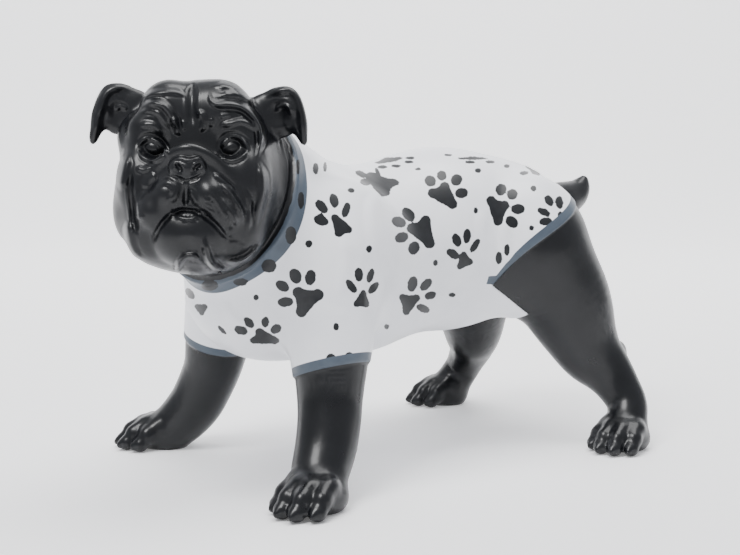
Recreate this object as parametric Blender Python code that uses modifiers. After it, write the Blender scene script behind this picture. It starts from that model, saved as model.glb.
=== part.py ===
"""Bulldog garden statue, cast in one piece and standing on four splayed legs.

The figure faces -Y with its left side at +X, and its head is turned to its left. Its form is a set of
soft masses, ellipsoids and tapered limbs, that blend into one skin. Folds and furrows are strokes that
raise or sink the skin, and the shirt is a thin raised layer. Places and sizes are in design millimetres,
shares of the statue's height.
"""

import math

import bmesh
import bpy
import numpy as np
from mathutils import Euler, Matrix

STATUE_HEIGHT = 0.427  # soles to the top of the skull, metres
DESIGN_HEIGHT = 427.0  # the same in design millimetres
UNIT = STATUE_HEIGHT / DESIGN_HEIGHT

VOXELS = (5.2, 2.6)  # the mesh is made coarse, then fine, before it is thinned to facets
HEAD_FACETS = 3300
PAW_FACETS = 1350
BODY_FACETS = 2250
HEAD_REACH = 118.0  # from the middle of the head, how far its own share of the facets is laid
PAW_TOP = 48.0
SNAP = 0.0006  # a corner this near to a cut moves onto it, metres
SETTLE_ROUNDS = 2

BLACK = (0.012, 0.013, 0.016)
WHITE = (0.80, 0.81, 0.85)
SLATE = (0.14, 0.18, 0.23)
COLLAR_WIDTH = 16.0
TRIM_WIDTH = 9.5

SHIRT_THICKNESS = 2.2
COLLAR_FLARE = 3.0  # how much further the collar stands off the neck
COLLAR_CURL = 10.0  # over how much of its width it does
GROOVE_DEPTH = 1.6  # the crease between the neck and the collar
GROOVE_WIDTH = 3.5
EDGE_SOFTNESS = 2.5


def smooth_min(a, b, blend):
    """Union of two distances that fills the crease between them over the blend length."""
    overlap = np.maximum(blend - np.abs(a - b), 0.0) / blend
    return np.minimum(a, b) - overlap * overlap * blend / 4.0


def smooth_step(x):
    x = np.clip(x, 0.0, 1.0)
    return x * x * (3.0 - 2.0 * x)


def curved(path, steps):
    """The path resampled along a smooth curve through all its points."""
    padded = np.vstack([2 * path[0] - path[1], path, 2 * path[-1] - path[-2]])
    made = []
    for a, b, c, d in zip(padded[:-3], padded[1:-2], padded[2:-1], padded[3:]):
        for t in np.arange(steps) / steps:
            pull = (c - a) * t
            bend = (2 * a - 5 * b + 4 * c - d) * t**2
            swing = (3 * b - a - 3 * c + d) * t**3
            made.append(0.5 * (2 * b + pull + bend + swing))
    made.append(path[-1])
    return np.array(made)


class Ball:
    """An ellipsoid: centre, half sizes, turn in degrees about X, Y and Z, and how softly it joins."""

    def __init__(self, centre, half, turn=(0, 0, 0), blend=20.0):
        self.centre = np.array(centre, float)
        self.half = np.array(half, float)
        self.turn = np.array(Euler([math.radians(a) for a in turn]).to_matrix())
        self.blend = blend

    def move(self, turn, place):
        self.centre = turn @ self.centre + place
        self.turn = turn @ self.turn

    def distance(self, points):
        scaled = ((points - self.centre) @ self.turn) / self.half
        reach = np.linalg.norm(scaled, axis=1)
        slope = np.linalg.norm(scaled / self.half, axis=1)
        return reach * (reach - 1.0) / np.maximum(slope, 1e-6)

    def bounds(self):
        reach = np.sqrt(((self.turn * self.half) ** 2).sum(axis=1))
        return self.centre - reach, self.centre + reach

    def rough(self):
        turn = Matrix(self.turn.tolist()).to_4x4()
        return [Matrix.Translation(self.centre) @ turn @ Matrix.Diagonal((*self.half, 1.0))]


class Limb:
    """A round limb along a smooth path: its points, its radius at each, and how softly it joins."""

    STEPS = 7
    BALL_SPACING = 0.4  # of the radius

    def __init__(self, points, radii, blend=20.0):
        path = np.array([(*point, radius) for point, radius in zip(points, radii)], float)
        self.path = curved(path, self.STEPS)
        self.blend = blend

    def move(self, turn, place):
        self.path[:, :3] = self.path[:, :3] @ turn.T + place

    def distance(self, points):
        best = np.full(len(points), 1e9)
        for start, end in zip(self.path[:-1], self.path[1:]):
            along = end[:3] - start[:3]
            share = np.clip((points - start[:3]) @ along / (along @ along), 0.0, 1.0)
            gap = np.linalg.norm(points - start[:3] - share[:, None] * along, axis=1)
            best = np.minimum(best, gap - start[3] - share * (end[3] - start[3]))
        return best

    def bounds(self):
        places, radii = self.path[:, :3], self.path[:, 3:]
        return (places - radii).min(axis=0), (places + radii).max(axis=0)

    def rough(self):
        kept = [self.path[0]]
        for place in self.path[1:]:
            if np.linalg.norm(place[:3] - kept[-1][:3]) > self.BALL_SPACING * place[3]:
                kept.append(place)
        kept.append(self.path[-1])
        return [Matrix.Translation(place[:3]) @ Matrix.Scale(place[3], 4) for place in kept]


class Stroke:
    """A fold, or with a negative height a furrow, along a smooth path in the layout of the face."""

    STEPS = 3
    REACH = 1.7  # the crease beside a fold ends this many half widths out
    FADE = 0.25  # the share of its length over which each end dies away

    def __init__(self, points, width, height):
        self.path = curved(np.array(points, float), self.STEPS)
        self.width = width
        self.height = height
        lengths = np.linalg.norm(np.diff(self.path, axis=0), axis=1)
        self.marks = np.concatenate([[0.0], np.cumsum(lengths)]) / lengths.sum()

    def lift(self, points):
        best = np.full(len(points), 1e9)
        place = np.zeros(len(points))
        for number, (start, end) in enumerate(zip(self.path[:-1], self.path[1:])):
            along = end - start
            share = np.clip((points - start) @ along / (along @ along), 0.0, 1.0)
            gap = np.linalg.norm(points - start - share[:, None] * along, axis=1)
            nearer = gap < best
            best = np.where(nearer, gap, best)
            mark = self.marks[number] + share * (self.marks[number + 1] - self.marks[number])
            place = np.where(nearer, mark, place)
        taper = smooth_step(np.minimum(place, 1.0 - place) / self.FADE)
        width = self.REACH * self.width * (0.45 + 0.55 * taper)
        across = np.clip((best / width) ** 2, 0.0, 1.0)
        return self.height * taper * (1.0 - across) ** 2 * (1.0 - self.REACH**2 * across)

    def bounds(self):
        reach = self.REACH * self.width
        return self.path.min(axis=0) - reach, self.path.max(axis=0) + reach


class Dent:
    """A round hollow, or with a negative depth a swelling."""

    def __init__(self, centre, radius, depth):
        self.centre = np.array(centre, float)
        self.radius = radius
        self.depth = depth

    def lift(self, points):
        gap = np.linalg.norm(points - self.centre, axis=1) / self.radius
        return -self.depth * np.clip(1.0 - gap**2, 0.0, None) ** 2

    def bounds(self):
        return self.centre - self.radius, self.centre + self.radius


def both_sides(make):
    """What make(side) gives for the left, +1, and for the right, -1."""
    return [item for side in (1, -1) for item in make(side)]


# Body

FRONT_STEP = {1: (0.0, 0.0), -1: (18.0, 8.0)}  # how far out and back each front paw is set, left and right


def torso():
    return [
        Ball((0, -35, 229), (112, 140, 105)),
        Ball((0, 112, 247), (99, 165, 108), blend=30),
        Ball((0, 220, 258), (86, 83, 73), turn=(-14, 0, 0), blend=30),
        Ball((0, -130, 208), (94, 86, 80), blend=30),
        Ball((0, 212, 188), (22, 36, 18), turn=(14, 0, 0), blend=12),
    ]


def front_leg(s):
    out, back = FRONT_STEP[s]
    path = [
        (s * 88, -112, 240), (s * (103 + 0.1 * out), -119, 178), (s * (111 + 0.25 * out), -124, 138),
        (s * (117 + 0.4 * out), -129 + 0.3 * back, 104), (s * (124 + 0.55 * out), -135 + 0.5 * back, 80),
        (s * (131 + 0.75 * out), -144 + 0.7 * back, 56), (s * (140 + 0.9 * out), -157 + 0.9 * back, 36),
        (s * (149 + out), -169 + back, 23),
    ]
    return [
        Ball((s * 86, -100, 240), (50, 76, 86), turn=(0, s * 8, 0), blend=30),
        Limb(path, [56, 46, 39, 34.5, 33, 32, 30, 27], blend=24),
        Ball((s * (133 + 0.8 * out), -116 + 0.8 * back, 50), (9, 8, 10), blend=5),
    ]


def hind_leg(s):
    path = [
        (s * 76, 206, 235), (s * 87, 239, 176), (s * 99, 257, 130), (s * 108, 266, 108), (s * 119, 275, 93),
        (s * 129, 281, 80), (s * 140, 284, 66), (s * 150, 285, 52), (s * 157, 280, 38), (s * 162, 268, 22),
    ]
    return [
        Ball((s * 70, 192, 238), (54, 76, 82), turn=(-10, s * 6, 0), blend=24),
        Limb(path, [60, 56, 44, 38, 32.5, 28.5, 25.5, 24, 24, 24], blend=22),
        Ball((s * 117, 302, 103), (12, 13, 17), turn=(-20, 0, 0), blend=10),
    ]


TOES = ((-26, -16), (-9.5, -30), (9.5, -30), (26, -16))  # how far across and ahead each toe is
TOE_SPLAY = 0.6  # degrees a toe turns out for each millimetre across


def paw(place, turn, size):
    """Four arched toes, their nails, and the pad behind them."""
    c, s = math.cos(math.radians(turn)), math.sin(math.radians(turn))

    def at(x, y, z):
        x, y = x * size, y * size
        return (place[0] + c * x - s * y, place[1] + s * x + c * y, z * size)

    def ball(x, y, z, half, blend, pitch=0.0, swing=0.0):
        half = [h * size for h in half]
        return Ball(at(x, y, z), half, turn=(pitch, 0, turn + swing), blend=blend)

    made = [
        ball(0, 4, 17, (32, 36, 22), 14),
        ball(0, 16, 11, (27, 22, 14), 10),
    ]
    for across, ahead in TOES:
        swing = across * TOE_SPLAY
        made += [
            ball(across * 0.86, ahead + 14, 31, (10.5, 14, 11), 8, 12, swing),
            ball(across, ahead - 2, 20, (11, 12, 14), 6, -20, swing),
            ball(across * 1.04, ahead - 12, 10, (10.5, 10, 10), 4, 0, swing),
            ball(across * 1.06, ahead - 19, 9, (4.5, 7, 5), 2.5, 30, swing),
        ]
    return made


def front_paw(s):
    out, back = FRONT_STEP[s]
    return paw((s * (162 + out), -181 + back), s * 17, 0.91)


def hind_paw(s):
    return paw((s * 168, 260), s * 15, 0.88)


def tail():
    path = [(0, 286, 276), (0, 314, 284), (0, 330, 289), (1, 343, 294), (2, 352, 302), (3, 357, 311)]
    return [Limb(path, [30, 26, 22, 18, 13, 7], blend=12)]


def neck():
    path = [(2, -84, 254), (14, -140, 281), (29, -198, 309), (42, -224, 322)]
    return [Limb(path, [85, 89, 89, 76], blend=28)]


# Head, in a frame of its own: x to the dog's left, y to the back, z up

HEAD_PLACE = np.array((51.0, -242.0, 334.0))
HEAD_YAW = 53.0
LAYOUT_EYE = np.array((170.0, -1347.0, 46.0))  # where the layout of the face is seen from
LAYOUT_PLANE = -65.0  # the layout's y


def head_masses():
    made = [
        Ball((2, 14, 36), (66, 70, 56), blend=20),
        Ball((6, -18, 61.5), (34, 34, 31), blend=12),
        Ball((-57, -8, 36), (23, 30, 26), blend=12),
        Ball((-62.5, -20, -40), (20, 28, 30), blend=10),
        Ball((-38, -24, -64), (22, 28, 20), blend=8),
        Ball((0, -56, -6), (38, 34, 28), blend=14),
        Ball((0, -60, -55), (40, 35, 31), blend=18),
        Ball((0, -30, -66), (52, 48, 24), blend=16),
        Ball((0, -14, -78), (52, 48, 22), blend=10),
        Ball((-1, -82, 8), (14, 10, 11), blend=5),
    ]

    def sides(s):
        return [
            Ball((s * 25, -22, 60), (31, 34, 33), blend=8),
            Ball((s * 42, -36, 44), (23, 20, 20), blend=8),
            Ball((s * 50, -26, -12), (29, 48, 50), blend=14),
            Ball((s * 9 - 1, -83, 8), (8.5, 8, 9), blend=3),
            Ball((s * 19, -70, -18), (19, 24, 19), blend=6),
            Ball((s * 34, -58, -34), (22, 34, 24), blend=8),
            Ball((s * 45, -34, -52), (25, 42, 32), blend=8),
            Ball((s * 34, -30, -70), (24, 36, 18), blend=8),
        ]

    roll = [
        (-50, -48, -40), (-47, -56, -22), (-39, -64, -4), (-28, -72, 11), (-14, -79, 22), (0, -82, 26),
        (14, -79, 22), (28, -72, 11), (39, -64, -4), (47, -56, -22), (50, -48, -40),
    ]
    made.append(Limb(roll, [3, 4.5, 6, 6, 5.5, 5.5, 5.5, 6, 6, 4.5, 3], blend=8))
    return made + both_sides(sides) + both_sides(ear)


EAR_RISE = {1: 0.0, -1: 4.0}  # how much higher each ear is set, left and right


def ear(s):
    """A folded ear: a leaf that stands out from the skull, with its tip hanging down."""
    rise = EAR_RISE[s]
    return [
        Ball((s * 64, 8, 60 + rise), (17, 10, 20), blend=8),
        Ball((s * 77, 5, 66 + rise), (16, 7, 20), turn=(0, 0, s * -8), blend=6),
        Ball((s * 80, 4, 52 + rise), (18, 7, 17), turn=(0, 0, s * -8), blend=6),
        Ball((s * 89, 2, 67 + rise), (13, 6.5, 19), turn=(0, s * -8, s * -8), blend=6),
        Ball((s * 97, -1, 56 + rise), (10, 6, 19), turn=(0, s * -18, s * -8), blend=6),
        Ball((s * 103, -3, 41 + 0.5 * rise), (5.5, 5, 14), turn=(0, s * -16, 0), blend=5),
    ]


def eyes():
    return both_sides(lambda s: [Ball((s * 38, -46, 26.5), (12, 10, 9.5), turn=(0, 0, s * 20), blend=1.2)])


def face_dents():
    made = both_sides(
        lambda s: [
            Dent((s * 38, -56, 28), 17, 6.0),
            Dent((s * 80, -6, 60), 16, 4.0),
            Dent((s * 94, -9, 54), 11, 2.5),
            Dent((s * 8 - 1, -91, 5), 5.0, 3.0),
        ]
    )
    return made + [Dent((0, -92, -66), 12, 3.0)]


# The face's layout: each fold's half width, its height and its points across and up

FACE_FOLDS = [
    (5.2, -2.6, ((4, 90), (2, 74), (2, 60), (3, 46))),
    (5, 4.4, ((-46, 65), (-36, 69), (-26, 67), (-20, 61), (-16, 52), (-11, 42))),
    (3.6, 2.8, ((-51, 27), (-46, 33), (-38, 36), (-30, 32), (-24, 24), (-21, 17))),
    (3.4, 2, ((-51, 24), (-45, 18), (-37, 15), (-30, 17), (-24, 23))),
    (4.4, 2.8, ((-16, 58), (-14, 48), (-10, 37))),
    (4.6, 2.6, ((8, 64), (13, 53), (10, 40))),
    (4.6, 4.4, ((19, 81), (20, 72), (27, 68), (38, 68), (49, 66), (59, 59), (66, 48), (68, 36), (65, 23), (62, 16))),
    (3.6, 2.8, ((26, 23), (31, 32), (38, 37), (46, 36), (52, 31), (57, 22))),
    (3.4, 2, ((27, 22), (33, 17), (40, 15), (48, 18), (55, 25))),
    (3, -3.4, ((-15, 12), (-11, 8), (-8, 4))),
    (3, -3.4, ((11, 11), (6, 9), (2, 5))),
    (3.6, -1.9, ((-4, -3), (-5, -16), (-6, -30))),
    (3.2, 2.6, ((26, -5), (37, -16), (44, -26), (49, -37), (50, -46))),
    (3.4, -1.9, ((-17, -34), (-23, -40), (-29, -47), (-34, -55), (-38, -66))),
    (2.8, -2.2, ((-22, -38), (-14, -34), (-6, -33), (3, -34), (12, -38))),
    (3.4, -1.9, ((8, -36), (14, -40), (21, -45), (28, -53), (36, -62))),
    (3.8, 4, ((-15, -94), (-12, -83), (-5, -77), (3, -78), (9, -84))),
    (4.4, 4.4, ((11, -58), (14, -72), (18, -83), (26, -90), (36, -91))),
    (4, 3.8, ((31, -82), (45, -82), (57, -75), (67, -64))),
    (5.2, 3, ((-59, 22), (-63, 8), (-66, -6), (-67, -16))),
    (4, -2.8, ((-56, 8), (-58, -13), (-56, -34), (-54, -48), (-50, -61))),
    (5, 2.6, ((-62, -41), (-60, -60), (-56, -73), (-47, -81))),
    (4.8, 3.4, ((64, 16), (68, 2), (69, -13), (67, -24), (64, -34), (62, -49))),
    (5.2, 2.8, ((70, 74), (81, 80), (94, 82), (102, 76), (106, 64), (108, 47), (108, 31))),
    (5.2, 2.8, ((-55, 79), (-64, 84), (-72, 83), (-79, 79), (-85, 68), (-89, 50), (-93, 33))),
]

FACE_BACK = 10.0  # behind this y the face's folds fade out
FACE_FADE = 30.0
COLLAR_MARGIN = 5.0  # how far ahead of the collar the folds are whole
RING_HEIGHT = 3.4  # the neck's folds, which run round it beside the collar
RING_SPACING = 9.5
RING_SWAY = 0.22
RING_LENGTH = 24.0
RING_START = -4.0  # they begin behind this y and below this z, and fade in
RING_TOP = 52.0
RING_FADE = 22.0
CREASE = 0.05  # how round the bottom of a crease is
RING_LEVEL = 0.6  # where the unfolded skin lies between the bottom and the top of a fold


def laid_out(points):
    """Points of the head's frame as the layout of the face shows them, across and up."""
    sight = points - LAYOUT_EYE
    reach = (LAYOUT_PLANE - LAYOUT_EYE[1]) / sight[:, 1]
    return (LAYOUT_EYE + reach[:, None] * sight)[:, [0, 2]]


# Shirt

COLLAR_CENTRE = np.array((31.0, -196.0, 312.0))
COLLAR_AXIS = np.array((0.235, -0.90, 0.38)) / np.linalg.norm((0.235, -0.90, 0.38))
SLEEVE_HEIGHT = 128.0
SLEEVE_SLOPE = 0.35
SLEEVE_OUT = 110.0
HEM_TIP = np.array((118.0, 199.0))  # y and z of the hem's foremost point, low on each flank
HEM_RISE = 41.8
HEM_BEND = 28.0
HEM_SLOPE = 0.41
HEM_SHARE = 0.8  # of a height above the slanting hem, how far that is from it
FLANK_SLOPE = 1.5  # how fast the shirt's edge runs back below the hem's tip
FLANK_DEPTH = 38.0  # how far below the tip it goes on running back
BELLY_WIDTH = 60.0
BELLY_NARROWING = 0.3  # how much the shirt's belly narrows to the back between the thighs
BELLY_BOTTOM = 130.0
BELLY_BACK = 252.0
HEM_CHORDS = (118.0, 130.0, 146.0, 171.0, 211.0, 280.0)  # where the hem's edge bends, along y


def hem_height(y):
    """The height of the hem's edge on the flank, which sweeps up to the back."""
    behind = np.clip(y - HEM_TIP[0], 0.0, None)
    return HEM_TIP[1] + HEM_RISE * (1.0 - np.exp(-behind / HEM_BEND)) + HEM_SLOPE * behind


def shirt_parts(points):
    """How far each point lies inside the collar, the sleeve ends, the hem and the whole shirt."""
    x, y, z = points.T
    collar = (COLLAR_CENTRE - points) @ COLLAR_AXIS
    sleeve = (z - SLEEVE_HEIGHT - SLEEVE_SLOPE * (np.abs(x) - SLEEVE_OUT)) / math.hypot(1.0, SLEEVE_SLOPE)
    sleeve = np.where((np.abs(x) > 60.0) & (y < 0.0), sleeve, 1e3)
    hem = HEM_SHARE * (z - hem_height(y))
    low = np.clip(HEM_TIP[1] - z, 0.0, FLANK_DEPTH)
    flank = HEM_TIP[0] - y + FLANK_SLOPE * low
    width = BELLY_WIDTH - BELLY_NARROWING * np.clip(y - HEM_TIP[0], 0.0, None)
    across = np.minimum(width - np.abs(x), BELLY_BACK - y)
    belly = np.minimum(across, np.minimum(HEM_TIP[1] - z, z - BELLY_BOTTOM))
    whole = np.minimum(np.minimum(collar, sleeve), np.maximum(np.maximum(hem, flank), belly))
    hem = np.where(low > 0.0, 1e3, np.maximum(hem, flank))
    return collar, sleeve, hem, whole


class Figure:
    """The statue's skin as one distance, with its relief."""

    def __init__(self, face_folds):
        self.turn = np.array(Euler((0.0, 0.0, math.radians(HEAD_YAW))).to_matrix())
        self.face_folds = [Stroke(places, width, height) for width, height, places in face_folds]
        self.dents = face_dents()
        for dent in self.dents:
            dent.centre = self.turn @ dent.centre + HEAD_PLACE
        head = head_masses()
        self.eyes = eyes()
        for mass in head + self.eyes:
            mass.move(self.turn, HEAD_PLACE)
        self.masses = (
            torso()
            + both_sides(front_leg)
            + both_sides(hind_leg)
            + both_sides(front_paw)
            + both_sides(hind_paw)
            + tail()
            + neck()
            + head
        )

    def union(self, masses, points, skin=None):
        skin = np.full(len(points), 400.0) if skin is None else skin
        for mass in masses:
            near = inside(mass.bounds(), points, 1.8 * mass.blend + 14.0)
            if len(near):
                skin[near] = smooth_min(skin[near], mass.distance(points[near]), mass.blend)
        return skin

    def folds(self, points, ahead):
        """How far the folds of the face and neck raise the skin, from how far ahead of the collar it is."""
        local = (points - HEAD_PLACE) @ self.turn
        layout = laid_out(local)
        bare = smooth_step(ahead / COLLAR_MARGIN)
        face = bare * (1.0 - smooth_step((local[:, 1] - FACE_BACK) / FACE_FADE))
        raised = np.zeros(len(points))
        for stroke in self.face_folds:
            near = inside(stroke.bounds(), layout, 0.0)
            if len(near):
                raised[near] += face[near] * stroke.lift(layout[near])
        neck = smooth_step((local[:, 1] - RING_START) / RING_FADE) * smooth_step((RING_TOP - local[:, 2]) / RING_FADE)
        wave = ahead / RING_SPACING + RING_SWAY * np.sin(local[:, 2] / RING_LENGTH)
        rings = RING_HEIGHT * (np.sqrt(np.sin(math.pi * wave) ** 2 + CREASE) - RING_LEVEL)
        return raised + bare * neck * rings

    def distance(self, points):
        skin = self.union(self.masses, points)
        collar, _, _, shirt = shirt_parts(points)
        for dent in self.dents:
            near = inside(dent.bounds(), points, 0.0)
            if len(near):
                skin[near] -= dent.lift(points[near])
        skin = self.union(self.eyes, points, skin)
        near = inside((HEAD_PLACE - HEAD_REACH, HEAD_PLACE + HEAD_REACH), points, 0.0)
        if len(near):
            skin[near] -= self.folds(points[near], -collar[near])
        layer = SHIRT_THICKNESS + COLLAR_FLARE * np.exp(-np.clip(collar, 0.0, None) / COLLAR_CURL)
        skin -= layer * smooth_step(0.5 + shirt / (2.0 * EDGE_SOFTNESS))
        return skin + GROOVE_DEPTH * np.exp(-(((collar + GROOVE_WIDTH) / GROOVE_WIDTH) ** 2))


def inside(bounds, points, margin):
    low, high = bounds
    return np.nonzero(np.all((points > low - margin) & (points < high + margin), axis=1))[0]


def rough_mesh(figure):
    """All the masses as plain balls, not yet joined."""
    ball = bmesh.new()
    bmesh.ops.create_icosphere(ball, subdivisions=3, radius=1.0)
    mesh = bpy.data.meshes.new("rough")
    ball.to_mesh(mesh)
    ball.free()
    cage = bmesh.new()
    for mass in figure.masses:
        for matrix in mass.rough():
            mesh.transform(matrix)
            cage.from_mesh(mesh)
            mesh.transform(matrix.inverted())
    cage.to_mesh(mesh)
    cage.free()
    return mesh


def one_skin(mesh, voxel):
    """The outer surface of the mesh as one closed, even skin."""
    obj = bpy.data.objects.new("rough", mesh)
    bpy.context.scene.collection.objects.link(obj)
    remesh = obj.modifiers.new("one_skin", "REMESH")
    remesh.mode = "VOXEL"
    remesh.voxel_size = voxel
    graph = bpy.context.evaluated_depsgraph_get()
    made = bpy.data.meshes.new_from_object(obj.evaluated_get(graph))
    bpy.data.objects.remove(obj)
    return made


def places_of(mesh):
    places = np.empty(len(mesh.vertices) * 3, np.float32)
    mesh.vertices.foreach_get("co", places)
    return places.reshape(-1, 3).astype(float)


def put_places(mesh, places):
    mesh.vertices.foreach_set("co", places.astype(np.float32).ravel())
    mesh.update()


def normals_of(mesh):
    normals = np.empty(len(mesh.vertices) * 3, np.float32)
    mesh.vertex_normals.foreach_get("vector", normals)
    return normals.reshape(-1, 3).astype(float)


def neighbour_average(mesh):
    """A function that gives the average, over each corner's neighbours, of a value per corner."""
    ends = np.empty(len(mesh.edges) * 2, np.int32)
    mesh.edges.foreach_get("vertices", ends)
    ends = ends.reshape(-1, 2)
    size = len(mesh.vertices)
    count = np.bincount(ends.ravel(), minlength=size)

    def average(values):
        total = [
            np.bincount(ends[:, 0], column[ends[:, 1]], size) + np.bincount(ends[:, 1], column[ends[:, 0]], size)
            for column in values.T
        ]
        return np.stack(total, axis=1) / count[:, None]

    return average


def settle(mesh, figure):
    """Evens out the mesh and draws it onto the blended skin."""
    average = neighbour_average(mesh)
    for _ in range(SETTLE_ROUNDS):
        places = places_of(mesh)
        put_places(mesh, 0.5 * (places + average(places)))
        for _ in range(2):
            places = places_of(mesh)
            step = np.clip(figure.distance(places), -4.0, 4.0)
            put_places(mesh, places - normals_of(mesh) * step[:, None])


def thinned(mesh, chosen, facets):
    """The same skin with the chosen corners' part of it cut down to so many triangles."""
    obj = bpy.data.objects.new("fine", mesh)
    bpy.context.scene.collection.objects.link(obj)
    obj.vertex_groups.clear()
    obj.vertex_groups.new(name="chosen").add(np.flatnonzero(chosen).tolist(), 1.0, "REPLACE")
    found = sum(len(face.vertices) - 2 for face in mesh.polygons if chosen[list(face.vertices)].all())
    total = sum(len(face.vertices) - 2 for face in mesh.polygons)
    decimate = obj.modifiers.new("fewer_faces", "DECIMATE")
    decimate.vertex_group = "chosen"
    decimate.vertex_group_factor = 1.0
    decimate.ratio = (total - found + facets) / total
    decimate.use_collapse_triangulate = True
    graph = bpy.context.evaluated_depsgraph_get()
    made = bpy.data.meshes.new_from_object(obj.evaluated_get(graph))
    bpy.data.objects.remove(obj)
    return made


def faceted(mesh):
    """The skin in far fewer faces, with the head and the paws finer than the body."""
    for region, facets in ((0, BODY_FACETS), (1, HEAD_FACETS), (2, PAW_FACETS)):
        places = places_of(mesh) / UNIT
        near_head = np.linalg.norm(places - HEAD_PLACE, axis=1) < HEAD_REACH
        regions = np.where(near_head, 1, np.where(places[:, 2] < PAW_TOP, 2, 0))
        mesh = thinned(mesh, regions == region, facets)
    return mesh


def score(body, place, normal, chosen):
    """Splits the chosen faces along a plane, so that an edge of the shirt can follow it."""
    faces = [face for face in body.faces if chosen(face.calc_center_median())]
    edges = {edge for face in faces for edge in face.edges}
    verts = {vert for face in faces for vert in face.verts}
    bmesh.ops.bisect_plane(body, geom=[*verts, *edges, *faces], dist=SNAP, plane_co=place, plane_no=normal)
    bmesh.ops.triangulate(body, faces=[face for face in body.faces if len(face.verts) > 3])


def score_shirt(body):
    """Splits faces along both sides of the collar's, the sleeves' and the hem's bands."""
    for inner in (0.0, COLLAR_WIDTH):
        place = (COLLAR_CENTRE - inner * COLLAR_AXIS) * UNIT
        score(body, place, COLLAR_AXIS, lambda middle: middle.y < -100 * UNIT and middle.z > 180 * UNIT)
    for inner in (0.0, TRIM_WIDTH):
        for side in (1, -1):
            place = (side * SLEEVE_OUT * UNIT, 0.0, (SLEEVE_HEIGHT + inner) * UNIT)
            normal = (-side * SLEEVE_SLOPE, 0.0, 1.0)
            score(body, place, normal, lambda middle: side * middle.x > 60 * UNIT and middle.y < 0.0)
        for start, end in zip(HEM_CHORDS[:-1], HEM_CHORDS[1:]):
            rise = inner / HEM_SHARE
            low, high = hem_height(start) + rise, hem_height(end) + rise
            score(
                body,
                (0.0, start * UNIT, low * UNIT),
                (0.0, low - high, end - start),
                lambda middle: start * UNIT <= middle.y <= end * UNIT and abs(middle.z / UNIT - high) < high - low + 25,
            )


def finish_faces(mesh):
    """Scores the shirt's edges, cuts the paws off flat at the ground and closes each sole."""
    body = bmesh.new()
    body.from_mesh(mesh)
    score_shirt(body)
    bmesh.ops.bisect_plane(
        body,
        geom=body.verts[:] + body.edges[:] + body.faces[:],
        dist=SNAP,
        plane_co=(0.0, 0.0, 0.0),
        plane_no=(0.0, 0.0, -1.0),
        clear_outer=True,
    )
    for vert in body.verts:
        if vert.co.z < SNAP:
            vert.co.z = 0.0
    rims = [edge for edge in body.edges if edge.is_boundary]
    bmesh.ops.holes_fill(body, edges=rims, sides=0)
    bmesh.ops.triangulate(body, faces=[face for face in body.faces if len(face.verts) > 3])
    bmesh.ops.recalc_face_normals(body, faces=body.faces[:])
    body.to_mesh(mesh)
    body.free()


def centre_over_feet(mesh):
    """Puts the origin under the middle of the statue's box, on the ground."""
    places = places_of(mesh)
    middle = 0.5 * (places.min(axis=0) + places.max(axis=0))
    middle[2] = 0.0
    put_places(mesh, places - middle)
    return middle


def gloss(name, colour, roughness):
    material = bpy.data.materials.new(name)
    material.use_nodes = True
    shader = material.node_tree.nodes["Principled BSDF"]
    shader.inputs["Base Color"].default_value = (*colour, 1.0)
    shader.inputs["Roughness"].default_value = roughness
    shader.inputs["Metallic"].default_value = 0.0
    return material


def paint(mesh, middle):
    """Black gloss on the bare dog, white on the shirt and slate blue on its edges."""
    mesh.materials.append(gloss("black_gloss", BLACK, 0.2))
    mesh.materials.append(gloss("shirt_white", WHITE, 0.28))
    mesh.materials.append(gloss("slate_trim", SLATE, 0.3))
    centres = np.array([face.center for face in mesh.polygons])
    collar, sleeve, hem, whole = shirt_parts((centres + middle) / UNIT)
    band = (collar < COLLAR_WIDTH) | (np.minimum(sleeve, hem) < TRIM_WIDTH)
    colour = np.where(whole > 0.0, np.where(band, 2, 1), 0)
    mesh.polygons.foreach_set("material_index", colour.astype(np.int32))


def main():
    for obj in list(bpy.data.objects):
        bpy.data.objects.remove(obj)
    figure = Figure(FACE_FOLDS)
    mesh = rough_mesh(figure)
    for voxel in VOXELS:
        mesh = one_skin(mesh, voxel)
        settle(mesh, figure)
    mesh.transform(Matrix.Scale(UNIT, 4))
    mesh = faceted(mesh)
    finish_faces(mesh)
    middle = centre_over_feet(mesh)
    paint(mesh, middle)
    mesh.name = "bulldog"
    mesh.shade_smooth()
    bulldog = bpy.data.objects.new("bulldog", mesh)
    collection = bpy.data.collections.new("bulldog_garden_statue")
    bpy.context.scene.collection.children.link(collection)
    collection.objects.link(bulldog)


if __name__ == "__main__":
    main()
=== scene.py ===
"""Looks of the bulldog garden statue: one glossy painted casting on a pale studio floor.

The form is the CAD part's own, made again with a finer mesh and with the small folds, the eyes' lids, the
nostrils, the ears' curls and the shirt's creases. Places and sizes are in design millimetres.
"""

import math

import bmesh
import bpy
import numpy as np
from mathutils import Euler, Matrix, Vector
from mathutils.bvhtree import BVHTree


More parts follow.
